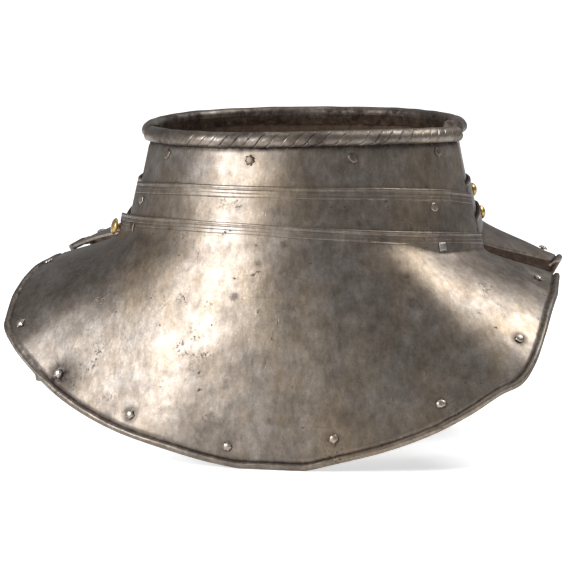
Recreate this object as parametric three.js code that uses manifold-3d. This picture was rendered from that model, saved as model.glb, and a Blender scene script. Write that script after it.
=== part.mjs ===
// Steel gorget: a two-part neck defence of overlapping plates, in millimetres, +Z up.
// The wearer faces -Y, and the wearer's left is +X.
import * as THREE from 'three';
import { mergeVertices } from 'three/addons/utils/BufferGeometryUtils.js';
import Module from 'manifold-3d';

const wasm = await Module();
wasm.setup();

// Driving dimensions
const SHEET = 1.3; // thickness of every plate
const SLIP = 0.7; // air between two overlapping plates
const LAYER = SHEET + SLIP; // step outwards from one plate to the next
const NECK_HALF_WIDTH = 85; // outside of the top plate at its narrowest
const NECK_HALF_DEPTH = 76.5;
const WAIST_Z = 162; // height of the narrowest place
const NECK_FLARE = 0.21; // growth of the neck, per mm downwards
const RIM_TOP = 174.5; // overall height
const ROPE = 8.4; // height of the rolled rim
const ROPE_SWELL = 2.2; // how much further the back half's roll stands out
const HALF_WIDTH = 143; // half the width over the front plate's shoulders
const FRONT_REACH = 115; // front foot from the neck's axis
const BACK_REACH = 112; // back foot from the neck's axis
const EDGE_ROLL = 2.3; // radius of the rolled lower edges
const CLOSING_EDGE = -68; // angle of the front half's edge on the wearer's right
const HINGE_EDGE = 80; // angle of the front half's edge on the wearer's left
const LAME_EDGE = -61; // angle of the front neck lames' edge on the wearer's right
const CLOSING_OVERLAP = 4.5; // how far the back plate goes under the front plate, wearer's right
const LAME_OVERLAP = 3; // how far the back neck lames go under the front ones, wearer's right
const HINGE_OVERLAP = 5; // how far the back half goes under the front half, wearer's left
const CLOSING_TUCK = 360 + CLOSING_EDGE + CLOSING_OVERLAP;
const LAME_TUCK = 360 + LAME_EDGE + LAME_OVERLAP;
const HINGE_TUCK = HINGE_EDGE - HINGE_OVERLAP;
const BACK_INSET = -2; // the back half's plates lie two layers further in
const FRONT_STEPS = 24;
const BACK_STEPS = 29;
const PIVOT_MARGIN = 4; // from the back neck lames' edge to the front side rivets
const FRONT_PIVOT_RIGHT = LAME_EDGE + LAME_OVERLAP + PIVOT_MARGIN;
const FRONT_PIVOT_LEFT = 56.5;
const BACK_PIVOT = 103; // angle of the back side rivets
const NECK_JOINT_Z = 130; // height of the side rivets between the front neck lames
const MAIN_JOINT_LEFT = 110; // heights of the side rivets in the front plate
const MAIN_JOINT_RIGHT = 115.7;
const BACK_NECK_JOINT_Z = 134.7;
const BACK_MAIN_JOINT_Z = 122.8;
const RIVET_GAP = 0.35;
const HINGE_ANGLE = 82.4; // angle of the hinge pin round the neck
const HINGE_OUT = -0.65; // the pin's place beyond the waist line
const HINGE_LOW = 101.5;
const HINGE_HIGH = 112.5;
const BARREL_RADIUS = 1.6;
const PIN_RADIUS = 0.7;
const STUD_BESIDE = 0.6; // from the front plate's edge to the stud, in degrees
const STUD_ANGLE = CLOSING_EDGE - STUD_BESIDE;
const STUD_Z = 113;
const STUD_SHANK = 1.8;
const STUD_HEAD = 4.4;
const STUD_SLACK = 0.5; // air round the stud's head in the front plate's notch

const RAD = Math.PI / 180;
const lerp = THREE.MathUtils.lerp;
const v3 = (x, y, z) => new THREE.Vector3(x, y, z);

// Materials
const colours = {
  steel: { color: 0x7d7062, roughness: 0.38, metalness: 0.9 },
  rivet: { color: 0x5d544a, roughness: 0.5, metalness: 0.85 },
  brass: { color: 0xa98a4e, roughness: 0.4, metalness: 0.9 },
  hinge: { color: 0x3f3831, roughness: 0.6, metalness: 0.7 },
};
const material = (name) => new THREE.MeshStandardMaterial({ name, ...colours[name] });

const gorget = new THREE.Group();
gorget.name = 'steel_gorget';
function addMesh(name, geometry, look) {
  const mesh = new THREE.Mesh(geometry, material(look));
  mesh.name = name;
  gorget.add(mesh);
  return mesh;
}

// A point on the neck: its angle from the front, its height, and how far out of the cone
function neckPoint(angle, z, out) {
  const grow = NECK_FLARE * (WAIST_Z - z) + out;
  const turn = angle * RAD;
  return v3((NECK_HALF_WIDTH + grow) * Math.sin(turn), -(NECK_HALF_DEPTH + grow) * Math.cos(turn), z);
}

// Straight-line reading of a table's column against its first column
function readTable(rows, key, column, at) {
  let i = 0;
  while (i < rows.length - 2 && at > rows[i + 1][key]) i += 1;
  const a = rows[i];
  const b = rows[i + 1];
  const share = THREE.MathUtils.clamp((at - a[key]) / (b[key] - a[key]), 0, 1);
  return lerp(a[column], b[column], share);
}

// Solids and cuts
function toSolid(geometry) {
  const bare = geometry.clone();
  bare.deleteAttribute('normal');
  bare.deleteAttribute('uv');
  const merged = mergeVertices(bare, 1e-4);
  return new wasm.Manifold(new wasm.Mesh({
    numProp: 3,
    vertProperties: new Float32Array(merged.attributes.position.array),
    triVerts: new Uint32Array(merged.index.array),
  }));
}

function toGeometry(solid) {
  const mesh = solid.getMesh();
  const geometry = new THREE.BufferGeometry();
  geometry.setAttribute('position', new THREE.BufferAttribute(new Float32Array(mesh.vertProperties), 3));
  geometry.setIndex(new THREE.BufferAttribute(new Uint32Array(mesh.triVerts), 1));
  geometry.computeVertexNormals();
  return geometry;
}

function cutFrom(geometry, cutters) {
  let solid = toSolid(geometry);
  for (const cutter of cutters) solid = solid.subtract(toSolid(cutter));
  return toGeometry(solid);
}

// The faces that fill a section drawn flat, each turned the section's own way
function capFaces(flatSection) {
  const way = THREE.ShapeUtils.area(flatSection);
  return THREE.ShapeUtils.triangulateShape(flatSection, []).map((corners) => {
    const same = THREE.ShapeUtils.area(corners.map((i) => flatSection[i])) * way > 0;
    return same ? corners : [...corners].reverse();
  });
}

// One closed section per rib, joined to the next, with the first and last filled
function joinSections(sections, caps) {
  const count = sections[0].length;
  const positions = [];
  for (const section of sections) for (const p of section) positions.push(p.x, p.y, p.z);
  const index = [];
  for (let r = 0; r < sections.length - 1; r += 1) {
    for (let i = 0; i < count; i += 1) {
      const a = r * count + i;
      const b = r * count + ((i + 1) % count);
      index.push(a, b, a + count, b, b + count, a + count);
    }
  }
  const last = (sections.length - 1) * count;
  for (const [a, b, c] of caps) {
    index.push(a, c, b);
    index.push(last + a, last + b, last + c);
  }
  const geometry = new THREE.BufferGeometry();
  geometry.setAttribute('position', new THREE.Float32BufferAttribute(positions, 3));
  geometry.setIndex(index);
  if (volume(geometry) < 0) turnInsideOut(geometry);
  geometry.computeVertexNormals();
  return geometry;
}

function volume(geometry) {
  const p = geometry.attributes.position;
  const index = geometry.index.array;
  const corner = (i) => v3().fromBufferAttribute(p, index[i]);
  let sum = 0;
  for (let i = 0; i < index.length; i += 3) sum += corner(i).dot(corner(i + 1).cross(corner(i + 2)));
  return sum / 6;
}

function turnInsideOut(geometry) {
  const index = geometry.index.array;
  for (let i = 0; i < index.length; i += 3) [index[i + 1], index[i + 2]] = [index[i + 2], index[i + 1]];
}

function evenly(from, to, steps) {
  return Array.from({ length: steps + 1 }, (_, i) => lerp(from, to, i / steps));
}
const frontAngles = evenly(CLOSING_EDGE, HINGE_EDGE, FRONT_STEPS);
const backAngles = evenly(HINGE_TUCK, CLOSING_TUCK, BACK_STEPS);
const frontLameAngles = evenly(LAME_EDGE, HINGE_EDGE, FRONT_STEPS);
const backLameAngles = evenly(HINGE_TUCK, LAME_TUCK, BACK_STEPS);

// Angle from the nearest side of the back half, 75 at its ends and 180 in the middle
const fromFront = (angle) => (angle > 180 ? 360 - angle : angle);

// Heights of the plates' edges, by the angle from the front
const frontNeckRows = [
  { angle: -68, z: 138 }, { angle: -35, z: 140.6 }, { angle: 0, z: 141.1 }, { angle: 35, z: 140.8 },
  { angle: 60, z: 139 }, { angle: 80, z: 135.4 },
];
const frontMainRows = [
  { angle: -68, z: 121.6 }, { angle: -30, z: 122.9 }, { angle: -5, z: 122.3 }, { angle: 30, z: 119.8 },
  { angle: 60, z: 117.3 }, { angle: 80, z: 115 },
];
const frontNeckTop = (angle) => readTable(frontNeckRows, 'angle', 'z', angle);
const frontMainTop = (angle) => readTable(frontMainRows, 'angle', 'z', angle);
const backNeckRows = [
  { angle: 60, z: 140 }, { angle: 80, z: 139 }, { angle: 105, z: 142 }, { angle: 180, z: 147 },
];
const backMainRows = [
  { angle: 60, z: 121 }, { angle: 80, z: 119.5 }, { angle: 105, z: 128 }, { angle: 180, z: 130 },
];
const TOP_UNDERLAP = 14; // how far a top lame goes down inside its neck lame
const frontTopLow = (angle) => frontNeckTop(angle) - TOP_UNDERLAP;
const backNeckTop = (angle) => readTable(backNeckRows, 'angle', 'z', fromFront(angle));
const backMainTop = (angle) => readTable(backMainRows, 'angle', 'z', fromFront(angle));
const backTopLow = (angle) => backNeckTop(angle) - TOP_UNDERLAP;

// Lower edges of the neck plates
const frontNeckLowRows = [
  { angle: -60, z: 106 }, { angle: 0, z: 108 }, { angle: 40, z: 106 }, { angle: 54, z: 103.5 },
  { angle: 80, z: 103.5 },
];
const frontNeckLow = (angle) => readTable(frontNeckLowRows, 'angle', 'z', angle);
const backLowerRows = [
  { angle: 60, z: 119 }, { angle: 72, z: 119 }, { angle: 92, z: 116 }, { angle: 100, z: 113 },
  { angle: 180, z: 116 },
];
const backNeckLow = (angle) => readTable(backLowerRows, 'angle', 'z', fromFront(angle));

// Neck plate: a plain curved strip
function neckPlate(angles, layer, topAt, lowAt) {
  const section = (angle) => {
    const top = topAt(angle);
    const low = lowAt(angle);
    const out = layer * LAYER;
    const heights = [low, lerp(low, top, 0.5), top];
    const outer = heights.map((z) => [out, z]);
    const inner = heights.map((z) => [out - SHEET, z]).reverse();
    return [...outer, ...inner];
  };
  const sections = angles.map((a) => section(a).map(([out, z]) => neckPoint(a, z, out)));
  return joinSections(sections, capFaces(section(angles[0]).map(([out, z]) => new THREE.Vector2(out, z))));
}

// How far the rim's top lies under the overall height: it falls to the front and the wearer's right
const frontRimRows = [
  { angle: -68, drop: 6.4 }, { angle: -45, drop: 7.1 }, { angle: -20, drop: 6.7 },
  { angle: 0, drop: 5.7 }, { angle: 20, drop: 4.5 }, { angle: 45, drop: 3.9 }, { angle: 80, drop: 4.3 },
];
const backRimRows = [
  { angle: 75, drop: 1.6 }, { angle: 100, drop: 1.2 }, { angle: 150, drop: 0 }, { angle: 180, drop: 0.8 },
  { angle: 210, drop: 1.5 }, { angle: 240, drop: 3 }, { angle: 265, drop: 4.7 }, { angle: 300, drop: 6.4 },
];
const frontRimTop = (angle) => RIM_TOP - readTable(frontRimRows, 'angle', 'drop', angle);
const backRimTop = (angle) => RIM_TOP - readTable(backRimRows, 'angle', 'drop', angle);

// Top plate: its upper edge is rolled inwards around itself into a thick rim with a flap inside.
// The rows are shares of the rope's height, and of the swell of the back half's roll.
const rimRows = [
  { out: 0, down: 1, swell: 0 }, { out: 0.31, down: 0.88, swell: 1 }, { out: 0.476, down: 0.57, swell: 1 },
  { out: 0.381, down: 0.19, swell: 1 }, { out: 0.07, down: 0, swell: 0.5 },
  { out: -0.262, down: 0.095, swell: 0.2 }, { out: -0.369, down: 0.405, swell: 0 },
  { out: -0.333, down: 1.095, swell: 0 }, { out: -SHEET / ROPE, down: 1.19, swell: 0 },
];
function topPlate(angles, layer, lowAt, topAt, swell) {
  const section = (angle) => {
    const low = lowAt(angle);
    const top = topAt(angle);
    const out = layer * LAYER;
    const rim = rimRows.map((row) => [out + row.out * ROPE + row.swell * swell, top - row.down * ROPE]);
    return [[out, low], ...rim, [out - SHEET, low]];
  };
  const sections = angles.map((a) => section(a).map(([out, z]) => neckPoint(a, z, out)));
  return joinSections(sections, capFaces(section(angles[0]).map(([out, z]) => new THREE.Vector2(out, z))));
}

// Outer edges of the main plates: the neck angle of each rib, and its end as shares of
// the half width, the reach and the overall height
const frontEdgeRows = [
  { neck: -68, across: -0.947, reach: -0.078, height: 0.5443 },
  { neck: -61, across: -1.003, reach: 0.217, height: 0.5036 },
  { neck: -54, across: -1.03, reach: 0.44, height: 0.4233 },
  { neck: -48, across: -1.026, reach: 0.56, height: 0.349 },
  { neck: -42, across: -0.955, reach: 0.65, height: 0.2954 },
  { neck: -35, across: -0.85, reach: 0.735, height: 0.2201 },
  { neck: -28, across: -0.733, reach: 0.82, height: 0.1557 },
  { neck: -20, across: -0.55, reach: 0.91, height: 0.0932 },
  { neck: -12, across: -0.33, reach: 0.972, height: 0.0456 },
  { neck: -7, across: -0.185, reach: 0.99, height: 0.0178 },
  { neck: -2, across: -0.05, reach: 1, height: -0.003 },
  { neck: 8, across: 0.2, reach: 1, height: -0.003 },
  { neck: 13, across: 0.33, reach: 0.985, height: 0.0337 },
  { neck: 21, across: 0.54, reach: 0.94, height: 0.0793 },
  { neck: 29, across: 0.72, reach: 0.855, height: 0.1517 },
  { neck: 37, across: 0.85, reach: 0.765, height: 0.226 },
  { neck: 44, across: 0.93, reach: 0.695, height: 0.2617 },
  { neck: 51, across: 0.963, reach: 0.59, height: 0.3301 },
  { neck: 58, across: 0.973, reach: 0.42, height: 0.4144 },
  { neck: 68, across: 0.972, reach: 0.175, height: 0.4798 },
  { neck: 80, across: 0.947, reach: -0.078, height: 0.5235 },
];
// The back plate's edge, with neck angles measured from the front on either side
const backEdgeRows = {
  left: [
    { neck: 75, across: 0.9, reach: -0.313, height: 0.5453 },
    { neck: 96, across: 0.915, reach: -0.38, height: 0.5572 },
    { neck: 110, across: 0.912, reach: -0.44, height: 0.5601 },
    { neck: 122, across: 0.86, reach: -0.55, height: 0.4957 },
    { neck: 134, across: 0.78, reach: -0.69, height: 0.3966 },
    { neck: 146, across: 0.66, reach: -0.82, height: 0.2726 },
    { neck: 157, across: 0.5, reach: -0.915, height: 0.1487 },
    { neck: 166, across: 0.32, reach: -0.97, height: 0.0595 },
    { neck: 170, across: 0.2, reach: -1, height: -0.003 },
    { neck: 180, across: 0, reach: -1, height: -0.003 },
  ],
  right: [
    { neck: 63, across: 0.958, reach: -0.31, height: 0.5512 },
    { neck: 76, across: 0.95, reach: -0.36, height: 0.5582 },
    { neck: 96, across: 0.93, reach: -0.42, height: 0.5681 },
    { neck: 110, across: 0.912, reach: -0.47, height: 0.5661 },
    { neck: 122, across: 0.86, reach: -0.57, height: 0.4957 },
    { neck: 134, across: 0.78, reach: -0.69, height: 0.3966 },
    { neck: 146, across: 0.66, reach: -0.82, height: 0.2726 },
    { neck: 157, across: 0.5, reach: -0.915, height: 0.1487 },
    { neck: 166, across: 0.32, reach: -0.97, height: 0.0595 },
    { neck: 170, across: 0.2, reach: -1, height: -0.003 },
    { neck: 180, across: 0, reach: -1, height: -0.003 },
  ],
};
function edgePoint(side, angle) {
  const front = side === 'front';
  const mirror = angle > 180 ? -1 : 1;
  const at = fromFront(angle);
  const rows = front ? frontEdgeRows : backEdgeRows[angle > 180 ? 'right' : 'left'];
  const reachSize = front ? FRONT_REACH : BACK_REACH;
  return v3(
    mirror * HALF_WIDTH * readTable(rows, 'neck', 'across', at),
    -reachSize * readTable(rows, 'neck', 'reach', at),
    RIM_TOP * readTable(rows, 'neck', 'height', at),
  );
}

// Where the neck wall of a main plate starts to turn outwards, and where the turn is centred
const turnRows = {
  front: [
    { angle: -68, start: 112.5, knee: 106 }, { angle: -50, start: 114, knee: 106 },
    { angle: 0, start: 116, knee: 107 }, { angle: 40, start: 114.5, knee: 106.5 },
    { angle: 54, start: 107.5, knee: 104 }, { angle: 80, start: 107.5, knee: 103 },
  ],
  back: [
    { angle: 75, start: 111, knee: 107 }, { angle: 84, start: 111, knee: 106.5 },
    { angle: 96, start: 117.5, knee: 112.7 }, { angle: 110, start: 120, knee: 116 },
    { angle: 180, start: 124, knee: 116 }, { angle: 250, start: 120, knee: 116.5 },
    { angle: 264, start: 118, knee: 114.5 }, { angle: 278, start: 112, knee: 110.5 },
    { angle: 297, start: 109.5, knee: 110 },
  ],
};
const FLANGE_SHARES = [0, 0.12, 0.28, 0.48, 0.72, 0.95, 1];
const FLANGE_STEPS = FLANGE_SHARES.length - 1;
const ROLL_TURNS = [135, 80, 25, -25, -80, -135];
const BULGE = 7; // how far a steep rib swells outwards
const LIFT = 2.5; // how far a flat rib swells upwards
const BASE_FROM = 84; // the back plate's ribs leave the neck between these angles
const BASE_TO = 276;

// The mid curve of one rib, from the top of the neck wall to the rolled edge
function ribCurve(side, angle) {
  const front = side === 'front';
  const out = front ? 2 * LAYER : 0;
  const rows = turnRows[side];
  const base = front ? angle : THREE.MathUtils.clamp(angle, BASE_FROM, BASE_TO);
  const start = readTable(rows, 'angle', 'start', angle);
  const knee = readTable(rows, 'angle', 'knee', base);
  const top = front ? frontMainTop(angle) : backMainTop(angle);
  const end = edgePoint(side, angle);
  const kneePoint = neckPoint(base, knee, out);
  const startPoint = neckPoint(angle, start, out);
  const steep = Math.abs(kneePoint.z - end.z) / kneePoint.distanceTo(end);
  const second = kneePoint.clone().lerp(end, 0.4);
  const across = v3(end.x - kneePoint.x, end.y - kneePoint.y, 0).normalize();
  second.addScaledVector(across, BULGE * steep * steep);
  second.z += LIFT * (1 - steep);
  const first = startPoint.clone().lerp(kneePoint, 0.9);
  const curve = new THREE.CubicBezierCurve3(startPoint, first, second, end);
  return { wallTop: neckPoint(angle, top, out), curve };
}

// Ribs as grids of outer points; the sheet's thickness is laid inwards along the normals
function mainPlate(side, angles) {
  const ribs = angles.map((angle) => {
    const { wallTop, curve } = ribCurve(side, angle);
    return [wallTop, ...FLANGE_SHARES.map((share) => curve.getPointAt(share))];
  });
  const normalAt = (r, i) => {
    const along = v3().subVectors(ribs[r][Math.min(i + 1, FLANGE_STEPS + 1)], ribs[r][Math.max(i - 1, 0)]);
    const round = v3().subVectors(ribs[Math.min(r + 1, ribs.length - 1)][i], ribs[Math.max(r - 1, 0)][i]);
    return along.cross(round).normalize();
  };
  const sections = ribs.map((rib, r) => {
    const normals = rib.map((_, i) => normalAt(r, i));
    const last = rib.length - 1;
    const end = rib[last];
    const out = normals[last];
    const down = v3().subVectors(end, rib[last - 1]).normalize();
    const centre = end.clone().addScaledVector(down, -EDGE_ROLL).addScaledVector(out, -SHEET / 2);
    const roll = ROLL_TURNS.map((turn) => centre.clone()
      .addScaledVector(down, EDGE_ROLL * Math.cos(turn * RAD))
      .addScaledVector(out, EDGE_ROLL * Math.sin(turn * RAD)));
    for (const p of roll) p.z = Math.max(p.z, 0);
    const outer = rib.slice(0, last);
    const inner = outer.map((p, i) => p.clone().addScaledVector(normals[i], -SHEET)).reverse();
    return [...outer, ...roll, ...inner];
  });
  const far = FLANGE_STEPS;
  const rollEnd = far + ROLL_TURNS.length;
  const pair = (i) => sections[0].length - 1 - i;
  const caps = [];
  for (let i = 0; i < far; i += 1) caps.push([i, i + 1, pair(i + 1)], [i, pair(i + 1), pair(i)]);
  for (let i = far; i <= rollEnd; i += 1) caps.push([i, i + 1, pair(far)]);
  return { geometry: joinSections(sections, caps), ribs, normalAt };
}

const frontMain = mainPlate('front', frontAngles);
const backMain = mainPlate('back', backAngles);
const frontNeck = neckPlate(frontLameAngles, 1, frontNeckTop, frontNeckLow);
const backNeck = neckPlate(backLameAngles, 1 + BACK_INSET, backNeckTop, backNeckLow);
const frontTop = topPlate(frontLameAngles, 0, frontTopLow, frontRimTop, 0);
const backTop = topPlate(backLameAngles, BACK_INSET, backTopLow, backRimTop, ROPE_SWELL);

// Directions at a place on the neck: round it, outwards and up
function neckFrame(angle) {
  const a = neckPoint(angle - 0.5, 130, 0);
  const b = neckPoint(angle + 0.5, 130, 0);
  const round = b.sub(a).normalize();
  const up = v3(0, 0, 1);
  return { round, outwards: v3().crossVectors(round, up), up };
}

// A block lined up with the neck at an angle, for a cut
function neckBlock(angle, z, out, sizeRound, sizeOut, sizeUp) {
  const { round, outwards, up } = neckFrame(angle);
  const block = new THREE.BoxGeometry(sizeRound, sizeOut, sizeUp);
  const place = new THREE.Matrix4().makeBasis(round, outwards.clone().negate(), up);
  block.applyMatrix4(place);
  const at = neckPoint(angle, z, out);
  block.translate(at.x, at.y, at.z);
  return block;
}

// Merges shared corners, drops empty faces and turns all faces outwards
function closed(geometry) {
  geometry.deleteAttribute('uv');
  geometry.deleteAttribute('normal');
  const merged = mergeVertices(geometry, 1e-4);
  const index = merged.index.array;
  const kept = [];
  for (let i = 0; i < index.length; i += 3) {
    const [a, b, c] = index.slice(i, i + 3);
    if (a !== b && b !== c && a !== c) kept.push(a, b, c);
  }
  merged.setIndex(kept);
  if (volume(merged) < 0) turnInsideOut(merged);
  merged.computeVertexNormals();
  return merged;
}

// A turned piece: its profile of radius and height, stood on a point along a direction
function turned(profile, sides, at, direction) {
  const points = profile.map(([radius, height]) => new THREE.Vector2(radius, height));
  const geometry = new THREE.LatheGeometry(points, sides);
  geometry.applyQuaternion(new THREE.Quaternion().setFromUnitVectors(v3(0, 1, 0), direction));
  geometry.translate(at.x, at.y, at.z);
  return closed(geometry);
}

const RIVET_SHANK = 1.1;
const RIVET_HEAD = 2.5;
const RIVET_RISE = 1.3; // height of a lining rivet's head
const RIVET_BURR = 1.8; // radius of its flattened inner end
const SHANK_SLACK = 0.35;
const RIVET_SIDES = 6;

// A rivet through sheets that reach from the surface inwards by grip
function rivetProfile(head, rise, shank, grip, burr) {
  const under = RIVET_GAP;
  const inside = -grip - RIVET_GAP;
  return [[0, inside - 0.7], [burr, inside - 0.5], [burr, inside], [shank, inside], [shank, under],
    [head, under], [0.62 * head, under + 0.75 * rise], [0, under + rise]];
}

const cuts = {};
function hole(plate, at, direction, radius, depth, sides) {
  const profile = [[0, -depth], [radius, -depth], [radius, depth], [0, depth]];
  (cuts[plate] ??= []).push(turned(profile, sides, at, direction));
}

// Outer surface and direction on the neck, for a layer
function neckSpot(angle, z, out) {
  const up = neckPoint(angle, z + 1, out).sub(neckPoint(angle, z - 1, out));
  const round = neckPoint(angle + 1, z, out).sub(neckPoint(angle - 1, z, out));
  return { at: neckPoint(angle, z, out), direction: v3().crossVectors(round, up).normalize() };
}

// Outer surface and direction on a main plate's flange, at a share of the way to its edge
function flangeSpot(plate, angles, angle, share) {
  const r = readIndex(angles, angle);
  const low = Math.floor(r);
  const step = FLANGE_SHARES.findIndex((next) => next > share);
  const between = (share - FLANGE_SHARES[step - 1]) / (FLANGE_SHARES[step] - FLANGE_SHARES[step - 1]);
  const corner = (rib, station) => plate.ribs[rib][station];
  const a = corner(low, step).clone().lerp(corner(low + 1, step), r - low);
  const b = corner(low, step + 1).clone().lerp(corner(low + 1, step + 1), r - low);
  const round = corner(low + 1, step).clone().sub(corner(low, step));
  const along = b.clone().sub(a);
  const at = a.clone().lerp(b, between);
  return { at, direction: v3().crossVectors(along, round).normalize() };
}
function readIndex(angles, angle) {
  const step = angles[1] - angles[0];
  return THREE.MathUtils.clamp((angle - angles[0]) / step, 0, angles.length - 1.001);
}

// Lining rivets, each through one plate
function liningRivet(name, plate, spot) {
  const { at, direction } = spot;
  hole(plate, at, direction, RIVET_SHANK + SHANK_SLACK, 4, RIVET_SIDES);
  const profile = rivetProfile(RIVET_HEAD, RIVET_RISE, RIVET_SHANK, SHEET, RIVET_BURR);
  addMesh(name, turned(profile, RIVET_SIDES, at, direction), 'rivet');
}

const frontEdgeRivets = [
  { neck: -63.4, share: 0.868 }, { neck: -46.8, share: 0.89 }, { neck: -32.6, share: 0.908 },
  { neck: -18, share: 0.9 }, { neck: -4, share: 0.915 }, { neck: 11.6, share: 0.89 },
  { neck: 27.6, share: 0.884 }, { neck: 50.4, share: 0.827 }, { neck: 73.4, share: 0.753 },
];
frontEdgeRivets.forEach(({ neck, share }, i) => liningRivet(`front_edge_rivet_${i + 1}`,
  'front_plate', flangeSpot(frontMain, frontAngles, neck, share)));

const backEdgeRivets = [
  { neck: 107, share: 0.76 }, { neck: 129, share: 0.88 }, { neck: 150, share: 0.9 },
  { neck: 170, share: 0.9 },
];
const mirrored = backEdgeRivets.map(({ neck, share }) => ({ neck: 360 - neck, share }));
[...backEdgeRivets, ...mirrored.reverse()].forEach(({ neck, share }, i) => liningRivet(
  `back_edge_rivet_${i + 1}`, 'back_plate', flangeSpot(backMain, backAngles, neck, share)));

// Collar rivets, under the rope
const frontCollarRivets = [
  { angle: -44.6, down: 13.2 }, { angle: -8.1, down: 14.6 }, { angle: 27.4, down: 14.5 },
  { angle: 64, down: 12.6 },
];
frontCollarRivets.forEach(({ angle, down }, i) => liningRivet(`front_collar_rivet_${i + 1}`,
  'front_top_lame', neckSpot(angle, frontRimTop(angle) - down, 0)));
const BACK_COLLAR_DOWN = 15.5;
[122, 161, 199, 238].forEach((angle, i) => liningRivet(`back_collar_rivet_${i + 1}`,
  'back_top_lame', neckSpot(angle, backRimTop(angle) - BACK_COLLAR_DOWN, BACK_INSET * LAYER)));

// Side rivets, each through two plates that turn on them
const SIDE_SHANK = 1.5;
const SIDE_BURR = 2.6;
const SIDE_SIDES = 8;
const SIDE_GRIP = LAYER + SHEET;
const sideHeads = {
  front_upper: { head: 2.3, rise: 0.7, look: 'rivet' },
  front_lower: { head: 2.6, rise: 1.3, look: 'rivet' },
  back_upper: { head: 3.5, rise: 2.2, look: 'brass' },
  back_lower: { head: 3.6, rise: 2.4, look: 'brass' },
};
function sideRivet(kind, side, outerPlate, innerPlate, spot) {
  const { head, rise, look } = sideHeads[kind];
  const { at, direction } = spot;
  hole(outerPlate, at, direction, SIDE_SHANK + SHANK_SLACK, 6, RIVET_SIDES);
  hole(innerPlate, at, direction, SIDE_SHANK + SHANK_SLACK, 6, RIVET_SIDES);
  const profile = rivetProfile(head, rise, SIDE_SHANK, SIDE_GRIP, SIDE_BURR);
  addMesh(`${kind}_side_rivet_${side}`, turned(profile, SIDE_SIDES, at, direction), look);
}
const sides = [
  { side: 'left', front: FRONT_PIVOT_LEFT, main: MAIN_JOINT_LEFT, back: BACK_PIVOT },
  { side: 'right', front: FRONT_PIVOT_RIGHT, main: MAIN_JOINT_RIGHT, back: 360 - BACK_PIVOT },
];
for (const { side, front, main, back } of sides) {
  sideRivet('front_upper', side, 'front_neck_lame', 'front_top_lame',
    neckSpot(front, NECK_JOINT_Z, LAYER));
  sideRivet('front_lower', side, 'front_plate', 'front_neck_lame', neckSpot(front, main, 2 * LAYER));
  sideRivet('back_upper', side, 'back_neck_lame', 'back_top_lame',
    neckSpot(back, BACK_NECK_JOINT_Z, (1 + BACK_INSET) * LAYER));
  sideRivet('back_lower', side, 'back_plate', 'back_neck_lame', neckSpot(back, BACK_MAIN_JOINT_Z, 0));
}

// The stud stands on the back half, in a round notch in the front plate's edge
const stud = neckSpot(STUD_ANGLE, STUD_Z, 0);
const HEAD_UNDER = 2 * LAYER + 1.2;
const STUD_FOOT = 2.6;
const footTop = -SHEET - RIVET_GAP;
const studProfile = [[0, footTop - 0.9], [STUD_FOOT, footTop - 0.7], [STUD_FOOT, footTop],
  [STUD_SHANK, footTop], [STUD_SHANK, HEAD_UNDER], [STUD_HEAD, HEAD_UNDER + 0.3],
  [0.75 * STUD_HEAD, HEAD_UNDER + 1.9], [0, HEAD_UNDER + 2.6]];
const STUD_SIDES = 10;
hole('back_plate', stud.at, stud.direction, STUD_SHANK + SHANK_SLACK, 3, RIVET_SIDES);
addMesh('closing_stud', turned(studProfile, STUD_SIDES, stud.at, stud.direction), 'brass');
hole('front_plate', stud.at, stud.direction, STUD_HEAD + STUD_SLACK, 12, STUD_SIDES);

// The back top plate's rim stops where the front one begins; its lower part goes on inside
const RIM_FOOT = 1.22; // share of the rope's height down to the end of its flap
const RIM_CUT_TURN = 2.8; // from the front half's edge to the middle of the cut, in degrees
const RIM_CUT = { round: 11, out: 16, up: 20 };
const rimCut = (angle) => {
  const low = backRimTop(angle) - RIM_FOOT * ROPE;
  return neckBlock(angle, low + RIM_CUT.up / 2, BACK_INSET * LAYER, RIM_CUT.round, RIM_CUT.out, RIM_CUT.up);
};
(cuts.back_top_lame ??= []).push(rimCut(HINGE_EDGE - RIM_CUT_TURN), rimCut(360 + LAME_EDGE + RIM_CUT_TURN));

// Hinge: knuckles on one pin, two on the front half's leaf and one on the back half's
const pinLow = neckPoint(HINGE_ANGLE, HINGE_LOW, HINGE_OUT);
const pinHigh = neckPoint(HINGE_ANGLE, HINGE_HIGH, HINGE_OUT);
const pinLine = pinHigh.clone().sub(pinLow);
const pinDirection = pinLine.clone().normalize();
const pinLength = pinLine.length();
const KNUCKLE_GAP = 0.3;
const PIN_SLACK = 0.3;
const LEAF = 1.0;
const KNUCKLE_SIDES = 10;
function tube(low, high, outer, inner) {
  const profile = [[inner, low], [outer, low], [outer, high], [inner, high], [inner, low]];
  return turned(profile, KNUCKLE_SIDES, pinLow, pinDirection);
}
function leafPlate(low, high, corners) {
  const shape = new THREE.Shape(corners.map(([x, y]) => new THREE.Vector2(x, y)));
  const leaf = new THREE.ExtrudeGeometry(shape, { depth: high - low, bevelEnabled: false, steps: 1 });
  const { outwards } = neckFrame(HINGE_ANGLE);
  const away = outwards.clone().addScaledVector(pinDirection, -outwards.dot(pinDirection)).normalize();
  const round = v3().crossVectors(pinDirection, away);
  leaf.applyMatrix4(new THREE.Matrix4().makeBasis(round, away, pinDirection.clone()));
  const at = pinLow.clone().addScaledVector(pinDirection, low);
  leaf.translate(at.x, at.y, at.z);
  return closed(leaf);
}
const join = (pieces) => toGeometry(pieces.map(toSolid).reduce((all, next) => all.add(next)));
const third = pinLength / 3;
const bore = PIN_RADIUS + PIN_SLACK;
const bend = (x) => (x * x) / (2 * NECK_HALF_WIDTH + 10);

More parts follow.
